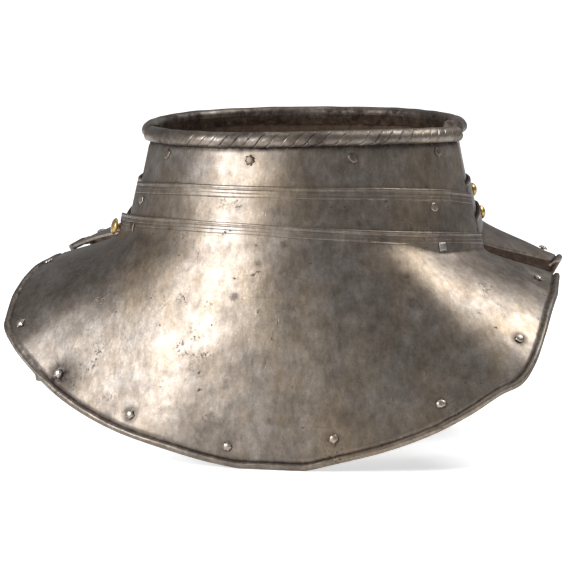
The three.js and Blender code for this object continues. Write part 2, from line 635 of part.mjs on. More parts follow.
// The front leaf lies inside the front plate, and its two knuckles reach back to the pin
const frontLeafOut = 2 * LAYER - SHEET - RIVET_GAP - HINGE_OUT;
const frontLeafRun = [-14, -9, -3.6];
const frontLeaf = [
  ...frontLeafRun.map((x) => [x, frontLeafOut - bend(x)]),
  ...[...frontLeafRun].reverse().map((x) => [x, frontLeafOut - LEAF - bend(x)]),
];
const frontArm = [[-4.2, frontLeafOut - bend(4)], [-3, frontLeafOut - 0.1], [-0.2, 1.5], [-1.3, 0.7],
  [-3.4, frontLeafOut - LEAF], [-4.2, frontLeafOut - LEAF - bend(4)]];
const frontKnuckles = [[0, third - KNUCKLE_GAP / 2], [2 * third + KNUCKLE_GAP / 2, pinLength]];
addMesh('hinge_front_leaf', join([
  leafPlate(0, pinLength, frontLeaf),
  ...frontKnuckles.map(([low, high]) => leafPlate(low, high, frontArm)),
  ...frontKnuckles.map(([low, high]) => tube(low, high, BARREL_RADIUS, bore)),
]), 'hinge');

// The back leaf lies inside the back plate, with one knuckle between the other two
const backLeafOut = -SHEET - RIVET_GAP - HINGE_OUT;
const backLeafRun = [2.6, 7.5, 13];
const backLeaf = [
  ...backLeafRun.map((x) => [x, backLeafOut - bend(x)]),
  ...[...backLeafRun].reverse().map((x) => [x, backLeafOut - LEAF - bend(x)]),
];
const backArm = [[3.4, backLeafOut - 0.05], [1.3, -0.6], [0.3, -1.5], [2.4, backLeafOut - LEAF],
  [3.4, backLeafOut - LEAF - 0.1]];
const middle = [third + KNUCKLE_GAP / 2, 2 * third - KNUCKLE_GAP / 2];
addMesh('hinge_back_leaf', join([
  leafPlate(0, pinLength, backLeaf), leafPlate(...middle, backArm), tube(...middle, BARREL_RADIUS, bore),
]), 'hinge');

// The pin, with a flat head at either end
const PIN_HEAD = 1.3;
const PIN_HEAD_RISE = 0.7;
const PIN_OUT = 0.4; // how far the shank goes on past the knuckles
const PIN_SIDES = 8;
const pinEnd = PIN_OUT + PIN_HEAD_RISE;
const pinProfile = [[0, -pinEnd], [PIN_HEAD, -pinEnd], [PIN_HEAD, -PIN_OUT], [PIN_RADIUS, -PIN_OUT],
  [PIN_RADIUS, pinLength + PIN_OUT], [PIN_HEAD, pinLength + PIN_OUT], [PIN_HEAD, pinLength + pinEnd],
  [0, pinLength + pinEnd]];
addMesh('hinge_pin', turned(pinProfile, PIN_SIDES, pinLow, pinDirection), 'hinge');

// Corners cut away round the hinge
const HINGE_MARGIN = 1.5; // air over the hinge
function cornerCut(angle, out, width, low, high) {
  return neckBlock(angle, (low + high) / 2, out, width, 8, high - low);
}
(cuts.back_plate ??= []).push(
  cornerCut(HINGE_ANGLE - 3.8, -1, 18.4, HINGE_LOW - 6.7, HINGE_HIGH + HINGE_MARGIN),
);
(cuts.front_neck_lame ??= []).push(
  cornerCut(HINGE_ANGLE - 4.4, 1.5, 22.4, HINGE_LOW - 19, HINGE_HIGH + HINGE_MARGIN),
);

const plates = {
  front_plate: frontMain.geometry,
  back_plate: backMain.geometry,
  front_neck_lame: frontNeck,
  back_neck_lame: backNeck,
  front_top_lame: frontTop,
  back_top_lame: backTop,
};
for (const [name, geometry] of Object.entries(plates)) {
  addMesh(name, cutFrom(geometry, cuts[name] ?? []), 'steel');
}

// The origin is under the middle of the whole, on the surface that it stands on
const box = new THREE.Box3().setFromObject(gorget, true);
const middleOf = box.getCenter(v3());
gorget.position.set(-middleOf.x, -middleOf.y, -box.min.z);

export default gorget;
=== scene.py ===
"""A steel gorget in fine detail: plates, roped rim, rivets, brass stud and hinge, over its frame."""
import math

import bpy
import numpy as np
from mathutils import Matrix, Vector


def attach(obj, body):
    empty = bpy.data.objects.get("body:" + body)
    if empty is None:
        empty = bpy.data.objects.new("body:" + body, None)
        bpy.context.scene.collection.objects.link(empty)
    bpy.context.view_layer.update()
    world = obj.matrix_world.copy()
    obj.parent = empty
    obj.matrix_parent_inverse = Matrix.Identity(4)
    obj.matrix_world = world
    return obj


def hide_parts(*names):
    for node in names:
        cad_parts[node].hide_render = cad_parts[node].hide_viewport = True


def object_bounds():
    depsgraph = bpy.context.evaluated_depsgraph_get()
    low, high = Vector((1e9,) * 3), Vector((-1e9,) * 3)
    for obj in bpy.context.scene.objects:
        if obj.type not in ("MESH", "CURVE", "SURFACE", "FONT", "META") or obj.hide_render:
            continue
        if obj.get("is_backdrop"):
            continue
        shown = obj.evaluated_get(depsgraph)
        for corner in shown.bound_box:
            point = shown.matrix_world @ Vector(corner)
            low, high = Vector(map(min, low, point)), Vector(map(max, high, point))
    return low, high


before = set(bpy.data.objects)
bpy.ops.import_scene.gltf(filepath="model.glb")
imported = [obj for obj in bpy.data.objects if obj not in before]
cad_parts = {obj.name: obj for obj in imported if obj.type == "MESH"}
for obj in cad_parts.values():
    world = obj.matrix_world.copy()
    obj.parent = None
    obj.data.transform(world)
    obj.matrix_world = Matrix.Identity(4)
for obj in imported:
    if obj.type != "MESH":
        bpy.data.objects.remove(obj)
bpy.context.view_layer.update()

# Driving sizes, in millimetres round the neck's axis, the same as the frame's
MM = 0.001
BOX_LOW, BOX_HIGH = (np.array(corner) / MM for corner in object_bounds())
NECK_CENTRE = np.array([3.869, 1.517, 0.0])
SHEET = 1.3
LAYER = 2.0
NECK_HALF_WIDTH = 85.0
NECK_HALF_DEPTH = 76.5
WAIST_Z = 162.0
NECK_FLARE = 0.21
RIM_TOP = 174.5
ROPE = 8.4
HALF_WIDTH = 143.0
FRONT_REACH = 115.0
BACK_REACH = 112.0
CLOSING_EDGE = -68.0
HINGE_EDGE = 80.0
LAME_EDGE = -61.0
HINGE_TUCK = 75.0
CLOSING_TUCK = 296.5
LAME_TUCK = 302.0
BACK_INSET = -2
BASE_FROM = 84.0
BASE_TO = 276.0
BULGE = 7.0
LIFT = 2.5
STUD_ANGLE = -68.6
STUD_Z = 113.0
NOTCH = 4.9
HINGE_ANGLE = 82.4
HINGE_CUT_LOW = 94.8
HINGE_CUT_TOP = 114.0

# Ribs of the two main plates, and their outlines: neck angle, then shares of half width, reach and height
FRONT_RIBS = np.linspace(CLOSING_EDGE, HINGE_EDGE, 25)
BACK_RIBS = np.linspace(HINGE_TUCK, CLOSING_TUCK, 30)
FRONT_EDGE = np.array([
    (-68, -0.947, -0.078, 0.5443), (-61, -1.003, 0.217, 0.5036), (-54, -1.03, 0.44, 0.4233),
    (-48, -1.026, 0.56, 0.349), (-42, -0.955, 0.65, 0.2954), (-35, -0.85, 0.735, 0.2201),
    (-28, -0.733, 0.82, 0.1557), (-20, -0.55, 0.91, 0.0932), (-12, -0.33, 0.972, 0.0456),
    (-7, -0.185, 0.99, 0.0178), (-2, -0.05, 1, -0.003), (8, 0.2, 1, -0.003), (13, 0.33, 0.985, 0.0337),
    (21, 0.54, 0.94, 0.0793), (29, 0.72, 0.855, 0.1517), (37, 0.85, 0.765, 0.226),
    (44, 0.93, 0.695, 0.2617), (51, 0.963, 0.59, 0.3301), (58, 0.973, 0.42, 0.4144),
    (68, 0.972, 0.175, 0.4798), (80, 0.947, -0.078, 0.5235)])
BACK_LOWER = [(134, 0.78, -0.69, 0.3966), (146, 0.66, -0.82, 0.2726), (157, 0.5, -0.915, 0.1487),
              (166, 0.32, -0.97, 0.0595), (170, 0.2, -1, -0.003), (180, 0, -1, -0.003)]
BACK_EDGE_LEFT = np.array([
    (75, 0.9, -0.313, 0.5453), (96, 0.915, -0.38, 0.5572), (110, 0.912, -0.44, 0.5601),
    (122, 0.86, -0.55, 0.4957)] + BACK_LOWER)
BACK_EDGE_RIGHT = np.array([
    (63, 0.958, -0.31, 0.5512), (76, 0.95, -0.36, 0.5582), (96, 0.93, -0.42, 0.5681),
    (110, 0.912, -0.47, 0.5661), (122, 0.86, -0.57, 0.4957)] + BACK_LOWER)
# Where the neck wall starts to turn outwards, and where the turn is centred
FRONT_TURN = np.array([(-68, 112.5, 106), (-50, 114, 106), (0, 116, 107), (40, 114.5, 106.5),
                       (54, 107.5, 104), (80, 107.5, 103)])
BACK_TURN = np.array([(75, 111, 107), (84, 111, 106.5), (96, 117.5, 112.7), (110, 120, 116),
                      (180, 124, 116), (250, 120, 116.5), (264, 118, 114.5), (278, 112, 110.5),
                      (297, 109.5, 110)])
# Heights of the plates' upper edges, of the lames' lower edges, and of the rim under the overall height
FRONT_MAIN_TOP = np.array([(-68, 121.6), (-30, 122.9), (-5, 122.3), (30, 119.8), (60, 117.3), (80, 115)])
FRONT_NECK_TOP = np.array([(-68, 138), (-35, 140.6), (0, 141.1), (35, 140.8), (60, 139), (80, 135.4)])
BACK_MAIN_TOP = np.array([(60, 121), (80, 119.5), (105, 128), (180, 130)])
BACK_NECK_TOP = np.array([(60, 140), (80, 139), (105, 142), (180, 147)])
FRONT_NECK_LOW = np.array([(-60, 106), (0, 108), (40, 106), (54, 103.5), (80, 103.5)])
BACK_NECK_LOW = np.array([(60, 119), (72, 119), (92, 116), (100, 113), (180, 116)])
FRONT_RIM_DROP = np.array([(-68, 6.4), (-45, 7.1), (-20, 6.7), (0, 5.7), (20, 4.5), (45, 3.9), (80, 4.3)])
BACK_RIM_DROP = np.array([(75, 1.6), (100, 1.2), (150, 0), (180, 0.8), (210, 1.5), (240, 3), (265, 4.7),
                          (300, 6.4)])
UNDERLAP = 14.0


def smooth_curve(knots, values, at):
    """A smooth curve through the values at the knots, read at other places."""
    slopes = np.gradient(values, knots, axis=0)
    i = np.clip(np.searchsorted(knots, at, side="right") - 1, 0, len(knots) - 2)
    width = knots[i + 1] - knots[i]
    t = np.clip((at - knots[i]) / width, 0, 1)
    if values.ndim > 1:
        t = t[:, None]
        width = width[:, None]
    return ((2 * t ** 3 - 3 * t ** 2 + 1) * values[i] + (t ** 3 - 2 * t ** 2 + t) * width * slopes[i]
            + (3 * t ** 2 - 2 * t ** 3) * values[i + 1] + (t ** 3 - t ** 2) * width * slopes[i + 1])


def from_front(angle):
    return np.where(angle > 180, 360 - angle, angle)


def softened(table, column=1, both_sides=False):
    """A table's column as a function of the angle, straight between the ribs' places but smooth there."""
    def read(angle):
        angle = np.asarray(angle, float)
        ribs = BACK_RIBS if angle.max() > HINGE_EDGE + 5 else FRONT_RIBS
        key = from_front(ribs) if both_sides else ribs
        return smooth_curve(ribs, np.interp(key, table[:, 0], table[:, column]), angle)
    return read


front_main_top = softened(FRONT_MAIN_TOP)
front_neck_top = softened(FRONT_NECK_TOP)
front_neck_low = softened(FRONT_NECK_LOW)
back_main_top = softened(BACK_MAIN_TOP, both_sides=True)
back_neck_top = softened(BACK_NECK_TOP, both_sides=True)
back_neck_low = softened(BACK_NECK_LOW, both_sides=True)
front_rim_drop = softened(FRONT_RIM_DROP)
back_rim_drop = softened(BACK_RIM_DROP)


def neck_points(angle, z, out):
    """Points on the neck's cone, from arrays of angle in degrees, height and distance outwards."""
    grow = NECK_FLARE * (WAIST_Z - z) + out
    turn = np.radians(angle)
    x = (NECK_HALF_WIDTH + grow) * np.sin(turn)
    y = -(NECK_HALF_DEPTH + grow) * np.cos(turn)
    return np.stack(np.broadcast_arrays(x, y, z), -1)


def edge_ends(side, angles):
    """The outer ends of a main plate's ribs."""
    if side == "front":
        shares = np.stack([np.interp(FRONT_RIBS, FRONT_EDGE[:, 0], FRONT_EDGE[:, k]) for k in (1, 2, 3)], -1)
        ribs, reach = FRONT_RIBS, FRONT_REACH
    else:
        ribs, reach = BACK_RIBS, BACK_REACH
        at = from_front(ribs)
        left, right = (np.stack([np.interp(at, table[:, 0], table[:, k]) for k in (1, 2, 3)], -1)
                       for table in (BACK_EDGE_LEFT, BACK_EDGE_RIGHT))
        shares = np.where((ribs > 180)[:, None], right * (-1, 1, 1), left)
    ends = smooth_curve(ribs, shares * (HALF_WIDTH, -reach, RIM_TOP), angles)
    return np.clip(ends, BOX_LOW + 0.2 - NECK_CENTRE, BOX_HIGH - 0.2 - NECK_CENTRE)


def rib_lines(side, angles):
    """Each rib of a main plate as a fine line, from the neck wall's top to the outer end."""
    front = side == "front"
    out = 2 * LAYER if front else 0.0
    turn = FRONT_TURN if front else BACK_TURN
    base = angles if front else np.clip(angles, BASE_FROM, BASE_TO)
    top = neck_points(angles, (front_main_top if front else back_main_top)(angles), out)
    start = neck_points(angles, softened(turn, 1)(angles), out)
    knee = neck_points(base, softened(turn, 2)(base), out)
    end = edge_ends(side, angles)
    steep = np.abs(knee[:, 2] - end[:, 2]) / np.linalg.norm(end - knee, axis=1)
    across = (end - knee) * (1, 1, 0)
    across /= np.linalg.norm(across, axis=1)[:, None]
    second = knee + 0.4 * (end - knee) + across * (BULGE * steep ** 2)[:, None]
    second[:, 2] += LIFT * (1 - steep)
    first = start + 0.9 * (knee - start)
    t = np.linspace(0, 1, 121)[None, :, None]
    curve = ((1 - t) ** 3 * start[:, None] + 3 * (1 - t) ** 2 * t * first[:, None]
             + 3 * (1 - t) * t ** 2 * second[:, None] + t ** 3 * end[:, None])
    return np.concatenate([top[:, None], curve], axis=1)


def along_lines(lines, distances):
    """Points on each line at the given distances from its start, and the lines' lengths."""
    steps = np.linalg.norm(np.diff(lines, axis=1), axis=2)
    run = np.concatenate([np.zeros((len(lines), 1)), np.cumsum(steps, axis=1)], axis=1)
    points = np.array([[np.interp(distances[r], run[r], lines[r, :, k]) for k in range(3)]
                       for r in range(len(lines))])
    return points.transpose(0, 2, 1), run[:, -1]


def line_lengths(lines):
    return np.linalg.norm(np.diff(lines, axis=1), axis=2).sum(axis=1)


def grid_normals(grid):
    normals = np.cross(np.gradient(grid, axis=1), np.gradient(grid, axis=0))
    return normals / np.maximum(np.linalg.norm(normals, axis=2), 1e-9)[..., None]


def ripple(points, scale, seed):
    """A smooth, seeded unevenness between -1 and 1, made of a few waves."""
    rng = np.random.default_rng(seed)
    total = np.zeros(points.shape[:-1])
    for _ in range(9):
        direction = rng.normal(size=3)
        direction /= np.linalg.norm(direction)
        wave = scale * rng.uniform(0.7, 1.5)
        total += np.sin(points @ direction * (2 * math.pi / wave) + rng.uniform(0, 2 * math.pi))
    return total / 4.5


def ridge(distance, centre, width, height):
    """A rounded ridge, or a groove if the height is negative, across a strip."""
    return height * np.exp(-((distance - centre) / width) ** 2)


# Mesh making
SMOOTH_UP_TO = math.radians(38)


def make_mesh(name, points, quads, others=(), looks=None, dirt_and_shade=None):
    """A closed mesh with its faces outwards, from points in millimetres round the neck's axis."""
    corners = (points + NECK_CENTRE) * MM
    a, b, c, d = (corners[quads[:, k]] for k in range(4))
    inside_out = np.einsum("ij,ij->", a, np.cross(b, c)) + np.einsum("ij,ij->", a, np.cross(c, d)) < 0
    faces = quads.tolist() + [list(face) for face in others]
    if inside_out:
        faces = [face[::-1] for face in faces]
    mesh = bpy.data.meshes.new(name)
    mesh.from_pydata(corners.tolist(), [], faces)
    mesh.polygons.foreach_set("use_smooth", [True] * len(faces))
    if looks is not None:
        mesh.polygons.foreach_set("material_index", looks + [0] * (len(faces) - len(looks)))
    shade = mesh.attributes.new("dirt_and_shade", "FLOAT", "POINT")
    shade.data.foreach_set("value", np.zeros(len(corners)) if dirt_and_shade is None else np.clip(dirt_and_shade, 0, 1).ravel())
    mesh.update()
    mesh.set_sharp_from_angle(angle=SMOOTH_UP_TO)
    piece = bpy.data.objects.new(name, mesh)
    bpy.context.scene.collection.objects.link(piece)
    return piece


def loft(name, sections, inner_from, dirt_and_shade):
    """Closed sections in a row with flat ends. The faces from inner_from on are the inside."""
    ribs, places, _ = sections.shape
    r, i = np.mgrid[0:ribs - 1, 0:places]
    j = (i + 1) % places
    quads = np.stack([r * places + i, (r + 1) * places + i, (r + 1) * places + j, r * places + j], -1)
    looks = (i >= inner_from).astype(int).ravel().tolist()
    ends = []
    for start, turned_round in ((0, False), ((ribs - 1) * places, True)):
        for k in range((places - 1) // 2):
            face = [start + k, start + k + 1, start + places - 2 - k, start + places - 1 - k]
            if face[1] == face[2]:
                face.pop(2)
            ends.append(face[::-1] if turned_round else face)
    return make_mesh(name, sections.reshape(-1, 3), quads.reshape(-1, 4), ends, looks, dirt_and_shade)


def finish_piece(piece, body, slot, *nodes):
    for material in LOOKS[slot]:
        piece.data.materials.append(material)
    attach(piece, body)
    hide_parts(*nodes)


# Marks on the steel: place, radius, and depth or strength
def marked(points, marks, sharpness=2):
    total = np.zeros(points.shape[:-1])
    for x, y, z, radius, amount in marks:
        gap = np.linalg.norm(points - np.array([x, y, z]), axis=-1)
        total += amount * np.exp(-(gap / radius) ** sharpness)
    return total


MARK_REACH = 9.0


def settled(marks, points):
    """The marks that lie near a surface, each moved onto it."""
    places = points.reshape(-1, 3)
    on_surface = []
    for x, y, z, radius, amount in marks:
        gaps = np.linalg.norm(places - np.array([x, y, z]), axis=1)
        if gaps.min() < MARK_REACH:
            on_surface.append((*places[np.argmin(gaps)], radius, amount))
    return on_surface


FRONT_EDGE_RIVETS = [(-63.4, 0.868), (-46.8, 0.89), (-32.6, 0.908), (-18, 0.9), (-4, 0.915),
                     (11.6, 0.89), (27.6, 0.884), (50.4, 0.827), (73.4, 0.753)]
BACK_EDGE_RIVETS = [(107, 0.76), (129, 0.88), (150, 0.9), (170, 0.9),
                    (190, 0.9), (210, 0.9), (231, 0.88), (253, 0.76)]
# Marks: a place in millimetres round the neck's axis, a radius, and a height or strength
DENTS = [(-110, -88, 40, 10, -1.7), (62, -108, 30, 14, -0.6), (-80, -92, 70, 18, -0.5),
         (30, -104, 78, 13, -0.35), (98, -88, 62, 13, -0.5), (-134, -60, 62, 9, -0.8)]
STAINS_AND_SHADE = [(-110, -88, 42, 8, 0.75), (73.8, -82.9, 84.6, 4.2, 0.9), (69.3, -79, 94.9, 3.2, 0.65),
          (72, -78, 98, 2, 0.6), (-14.7, -98.1, 85.4, 2.2, 0.6), (57.7, -73.2, 115.7, 2.6, 0.8),
          (9.5, -90.5, 113, 2.4, 0.75), (25.3, -110.2, 29.6, 1.8, 0.7), (-54.4, -74.9, 117.4, 1.8, 0.7),
          (96, -80, 74, 2.6, 0.7), (101, -84, 62, 3.4, 0.55), (86, -84, 68, 2, 0.5),
          # (-80, -102, 33) is no stain: a broad, faint painted shade over the lower left of the front plate
          (-24, -109, 26, 1.8, 0.55), (-80, -102, 33, 26, 0.2), (-4, -95, 103, 2.2, 0.5),
          (8, -96, 98, 1.6, 0.55), (28, -100, 79, 1.8, 0.5)]
LAME_STAINS = [(40.4, -69.4, 154.5, 3.4, 0.85), (74, -46, 141, 2.3, 0.9), (-11, -78, 155, 2.6, 0.5),
               (77, -52, 124, 7, 0.55), (66, -63, 124, 9, 0.5)]
ENGRAVED = ((2.1, 0.18, 0.2), (3.9, 0.16, 0.12), (5.8, 0.18, 0.18))


def engraving(s, points, seed, share=1.0):
    """The thin flat lip and engraved lines along a plate's upper edge: relief, and the grime in them."""
    relief = 0.06 * (1 - np.tanh((s - 1.2) / 0.2)) - 0.3 * np.exp(-s / 0.2) + 0.05 * ripple(points, 31, seed)
    dirt_and_shade = ridge(s, 0.0, 0.25, 0.5)
    for k, (centre, width, depth) in enumerate(ENGRAVED):
        worn = share * np.clip(0.7 + 0.5 * ripple(points, 60, seed + 3 + k), 0.1, 1)
        wander = centre + 0.12 * ripple(points, 40, seed + 9 + k)
        relief = relief - worn * depth * np.exp(-((s - wander) / width) ** 2)
        dirt_and_shade = dirt_and_shade + worn * 0.8 * np.exp(-((s - wander) / (1.2 * width)) ** 2)
    return relief, dirt_and_shade


def stepped(value, at, width):
    """1 well below a place and 0 well past it, with a soft step between."""
    return 1 / (1 + np.exp(np.clip((value - at) / width, -30, 30)))


def back_lines(angles):
    """The back half's lines fade out towards the front half."""
    return np.clip((45 - np.abs(angles - 185)) / 20, 0, 1)[:, None]


def painted_gap_shade(angles, near, far):
    """Painted shade: a dark strip on the back half along the front half's edges, where the gap between the
    halves lies in shade.
    """
    return 0.98 * (stepped(angles[:, None], near, 0.4) + stepped(far, angles[:, None], 0.4))


# The stud stands in a round notch in the front plate's edge
NOTCH_REACH = 9.0


def notched(points, angles):
    """Moves the front plate's first ribs back from the stud."""
    stud = neck_points(STUD_ANGLE, STUD_Z, 2 * LAYER)
    per_degree = math.radians(1) * (NECK_HALF_WIDTH + NECK_FLARE * (WAIST_Z - STUD_Z))
    half_chord = np.sqrt(np.clip(NOTCH ** 2 - (points[..., 2] - stud[2]) ** 2, 0, None))
    near = np.linalg.norm((points - stud)[..., :2], axis=-1) < 3 * NOTCH
    reach = np.maximum(half_chord / per_degree - (CLOSING_EDGE - STUD_ANGLE), 0)
    bite = np.where(near & (half_chord > 0), reach, 0)
    fade = np.clip(1 - (angles[:, None] - CLOSING_EDGE) / NOTCH_REACH, 0, 1) ** 2
    turn = np.radians(bite * fade)
    x = points[..., 0] * np.cos(turn) - points[..., 1] * np.sin(turn)
    y = points[..., 0] * np.sin(turn) + points[..., 1] * np.cos(turn)
    return np.stack([x, y, points[..., 2]], -1)


BEAD = 1.95
BEAD_DEEP = 0.95
BEAD_TURNS = np.radians(np.linspace(135, -140, 21))


def main_plate(side, angles):
    lines = rib_lines(side, angles)
    length = line_lengths(lines)[:, None]
    upper = np.linspace(0, 8, 42)[None, :] * np.ones_like(length)
    lower = 8 + np.linspace(0, 1, 90)[None, 1:] * (length - 2 * BEAD - 8)
    s = np.concatenate([upper, lower], axis=1)
    outer, _ = along_lines(lines, s)
    from_edge = length - s
    normals = grid_normals(outer)
    front = side == "front"
    lip, lip_dirt = engraving(s, outer, 40 if front else 60, 1.0 if front else back_lines(angles))
    fade = np.clip((s - 5) / 12, 0, 1)
    crease = 0.55 + 0.25 * ripple(outer, 70, 21)
    relief = lip + fade * (0.22 * ripple(outer, 52, 5) + 0.07 * ripple(outer, 17, 8))
    relief = relief - crease * np.exp(-((from_edge - 2 * BEAD - 0.2) / 0.6) ** 2)
    rivets = FRONT_EDGE_RIVETS if side == "front" else BACK_EDGE_RIVETS
    seats = [(*flange_spot(side, *spot)[0], 4.2, 1.0) for spot in rivets]
    relief = relief - 0.35 * marked(outer, seats)
    if front:
        relief = relief + marked(outer, DENTS)
    raised = outer + normals * relief[..., None]
    end, _ = along_lines(lines, length)
    before, _ = along_lines(lines, length - 3.0)
    down = end[:, 0] - before[:, 0]
    down /= np.linalg.norm(down, axis=1)[:, None]
    out = normals[:, -1]
    size = 1 + 0.08 * ripple(end[:, 0], 24, 12) + 0.05 * ripple(end[:, 0], 9, 13)
    if front:
        worn_flat = 0.5 * np.exp(-((angles + 40) / 5.5) ** 4)
        size = size * (1 - worn_flat - 0.45 * np.exp(-(angles - CLOSING_EDGE) / 1.2))
    radius = (BEAD * size)[:, None]
    centre = end[:, 0] - down * radius - out * BEAD_DEEP
    second_line = 1 - 0.14 * np.exp(-((BEAD_TURNS - math.radians(40)) / 0.16) ** 2) * front
    bead = centre[:, None] + (radius * second_line[None, :])[..., None] * (
        np.cos(BEAD_TURNS)[None, :, None] * down[:, None] + np.sin(BEAD_TURNS)[None, :, None] * out[:, None])
    if front:
        sliver = 1.6 * np.exp(-((angles + 35.2) / 0.55) ** 2)
        outward = np.clip(np.cos(BEAD_TURNS), 0, 1)[None, :]
        bead = bead + (sliver[:, None] * outward)[..., None] * down[:, None]
    inner = (outer + normals * (np.minimum(relief + 0.6, 0) - SHEET)[..., None])[:, ::-1]
    sections = np.concatenate([raised, bead, inner], axis=1)
    sections = notched(sections, angles) if front else hinge_cut(sections, angles)
    sections = np.clip(sections, BOX_LOW - NECK_CENTRE, BOX_HIGH - NECK_CENTRE)
    dirt_and_shade = (lip_dirt + ridge(from_edge, 2 * BEAD + 0.2, 0.9, 0.9) + 0.12 * ripple(outer, 25, 77)
            + 0.75 * marked(outer, seats, 4))
    if front:
        # stains, and one broad painted shade at the lower left
        dirt_and_shade = dirt_and_shade + marked(outer, settled(STAINS_AND_SHADE, outer), 4)
    else:
        # painted shade on the back plate along the front plate's edge
        dirt_and_shade = dirt_and_shade + painted_gap_shade(angles, HINGE_EDGE + 2.5 + 4 * stepped(s, 12, 2), 400)
    # the bead is darker towards the hinge side and in the creases where it meets the plate
    hinge_side = 0.3 * np.clip((angles[:, None] - 40) / 25, 0, 1)
    creases = ridge(np.abs(BEAD_TURNS)[None, :], math.radians(125), 0.35, 0.6)
    bead_darkening = 0.08 + hinge_side + 0.22 * ripple(bead, 20, 31) + creases
    wear_and_shade = np.concatenate([dirt_and_shade, bead_darkening, np.full_like(dirt_and_shade, 0.5)], axis=1)
    piece = loft(f"{side}_main_plate", sections, s.shape[1] + 13, wear_and_shade)
    finish_piece(piece, f"{side}_plate", "steel", f"{side}_plate")


# The hinge sits in a cut-out at the back plate's end, and the front lame's corner is cut away over it
HINGE_PLAY = 2.2
LAME_CORNER = 11.5


def hinge_cut(points, angles):
    """Draws the back plate's end back round the hinge."""
    edge = HINGE_ANGLE + HINGE_PLAY
    end = points[np.searchsorted(angles, edge)][None]
    z = points[..., 2]
    share = stepped(HINGE_CUT_LOW, z, 0.15) * stepped(z, HINGE_CUT_TOP, 0.15)
    share = np.where(angles[:, None] < edge, 0.97 * share, 0)[..., None]
    return points + share * (end - points)


def neck_strip(side, angles):
    front = side == "front"
    out = LAYER * (1 if front else 1 + BACK_INSET)
    top, low = ((front_neck_top, front_neck_low) if front else (back_neck_top, back_neck_low))
    top, low = top(angles)[:, None], low(angles)[:, None]
    if front:
        low = low + (HINGE_CUT_TOP - low) * stepped(HINGE_ANGLE - LAME_CORNER, angles, 0.2)[:, None]
    upper = np.linspace(0, 8, 42)[None, :] * np.ones_like(top)
    s = np.concatenate([upper, 8 + np.linspace(0, 1, 30)[None, 1:] * (top - low - 8)], axis=1)
    base = neck_points(angles[:, None], top - s, out)
    lip, lip_dirt = engraving(s, base, 70 if front else 90, 1.0 if front else back_lines(angles))
    relief = lip + 0.06 * ripple(base, 22, 31) * np.clip(s / 6, 0, 1)
    raised = neck_points(angles[:, None], top - s, out + relief)
    inner = neck_points(angles[:, None], top - s, out - SHEET)[:, ::-1]
    wear_and_shade = lip_dirt + 0.12 * ripple(base, 25, 79)
    wear_and_shade = wear_and_shade + (marked(base, LAME_STAINS, 4) if front
                   # the back lame gets painted shade along the front half's edges
                   else painted_gap_shade(angles, HINGE_EDGE + 6.8, 360 + LAME_EDGE - 2.5))
    piece = loft(f"{side}_neck_strip", np.concatenate([raised, inner], axis=1), s.shape[1],
                 np.concatenate([wear_and_shade, np.full_like(wear_and_shade, 0.5)], axis=1))
    finish_piece(piece, f"{side}_neck_lame", "steel", f"{side}_neck_lame")


# The rim is rolled out of the top plate round itself, and cut across like a rope
ROPE_PITCH = 6.6
ROPE_LEAN = 0.75
CUT_STRENGTH = np.array([(-68, 0.1), (-45, 0.2), (-33, 0.55), (-22, 1), (12, 1), (30, 0.75), (46, 0.6),
                         (62, 0.5), (80, 0.35)])
ROLL_TURNS = np.radians(np.linspace(-112, 196, 52))
WALL_PLACES = 40
FLAP_END = 9.5


def rope_cuts(angles, half_width):
    """Relief of the slanting cuts round the roll, and the dirt in them."""
    arc = np.radians(angles)[:, None] * half_width
    wander = 0.9 * np.sin(arc / 17 + 1) + 0.6 * np.sin(arc / 7.3)
    strayed = arc + wander - ROPE_LEAN * ROLL_TURNS[None, :] * 3.8
    rng = np.random.default_rng(7)
    number = np.round(strayed / ROPE_PITCH).astype(int) % 90
    from_cut = strayed - ROPE_PITCH * (np.round(strayed / ROPE_PITCH) + rng.uniform(-0.12, 0.12, 90)[number])
    strength = np.interp(angles, CUT_STRENGTH[:, 0], CUT_STRENGTH[:, 1], right=0.12)[:, None]
    begins, ends = rng.uniform(-1.7, -0.9, 90)[number], rng.uniform(1.0, 1.9, 90)[number]
    fade = np.clip((ROLL_TURNS - begins) / 0.3, 0, 1) * np.clip((ends - ROLL_TURNS) / 0.4, 0, 1)
    strength = strength * fade * rng.uniform(0.5, 1.25, 90)[number]
    groove = np.exp(-(from_cut / 0.33) ** 2)
    relief = strength * (0.2 * np.exp(-((from_cut - 0.95) / 0.45) ** 2) - 0.45 * groove
                         + 0.07 * np.cos(2 * math.pi * strayed / ROPE_PITCH + math.pi))
    return relief, 0.9 * strength * groove


